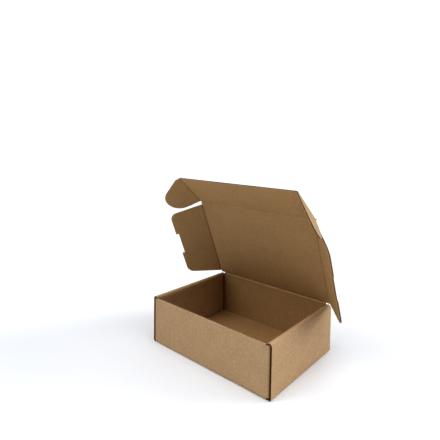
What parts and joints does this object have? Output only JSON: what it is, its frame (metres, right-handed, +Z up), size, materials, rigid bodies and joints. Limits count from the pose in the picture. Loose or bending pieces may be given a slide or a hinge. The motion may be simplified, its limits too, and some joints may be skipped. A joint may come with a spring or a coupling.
{
  "type": "cardboard mailer box",
  "caption": "Folded corrugated cardboard box with rolled side walls and a hinged lid with dust flaps, a tuck flap and round ears.",
  "frame": {"origin": "centre of the base's underside", "axes": "+Z up, +X along the length of the tray to the right, -Y towards the front panel; the lid's crease is at the back, towards +Y"},
  "size_m": [0.3396, 0.154, 0.2664],
  "materials": {
    "kraft_board_outside": "matte brown kraft liner, outer side",
    "kraft_board_inside": "matte brown kraft liner, inner side"
  },
  "bodies": {
    "tray": {"tray": "kraft_board_outside"},
    "lid": {"lid": "kraft_board_outside"},
    "left_dust_flap": {"left_dust_flap": "kraft_board_inside"},
    "right_dust_flap": {"right_dust_flap": "kraft_board_inside"},
    "tuck_flap": {"tuck_flap": "kraft_board_outside"},
    "left_ear": {"left_ear": "kraft_board_inside"},
    "right_ear": {"right_ear": "kraft_board_inside"}
  },
  "joints": [
    {"name": "lid_crease", "type": "hinge", "parent": "tray", "child": "lid", "pos_m": [0, 0.0755, 0.0777], "axis": [-1, 0, 0], "range_deg": [-69, 131]},
    {"name": "left_dust_crease", "type": "hinge", "parent": "lid", "child": "left_dust_flap", "pos_m": [-0.12, 0.0755, 0.0777], "axis": [0, -0.3584, 0.9336], "range_deg": [-35, 45]},
    {"name": "right_dust_crease", "type": "hinge", "parent": "lid", "child": "right_dust_flap", "pos_m": [0.12, 0.0755, 0.0777], "axis": [0, 0.3584, -0.9336], "range_deg": [-45, 35]},
    {"name": "tuck_crease", "type": "hinge", "parent": "lid", "child": "tuck_flap", "pos_m": [0, 0.02049, 0.22101], "axis": [1, 0, 0], "range_deg": [-26, 7]},
    {"name": "left_ear_crease", "type": "hinge", "parent": "tuck_flap", "child": "left_ear", "pos_m": [-0.12, 0.02049, 0.22101], "axis": [0, -0.7314, 0.682], "range_deg": [-38, 52]},
    {"name": "right_ear_crease", "type": "hinge", "parent": "tuck_flap", "child": "right_ear", "pos_m": [0.12, 0.02049, 0.22101], "axis": [0, 0.7314, -0.682], "range_deg": [-49, 41]}
  ]
}
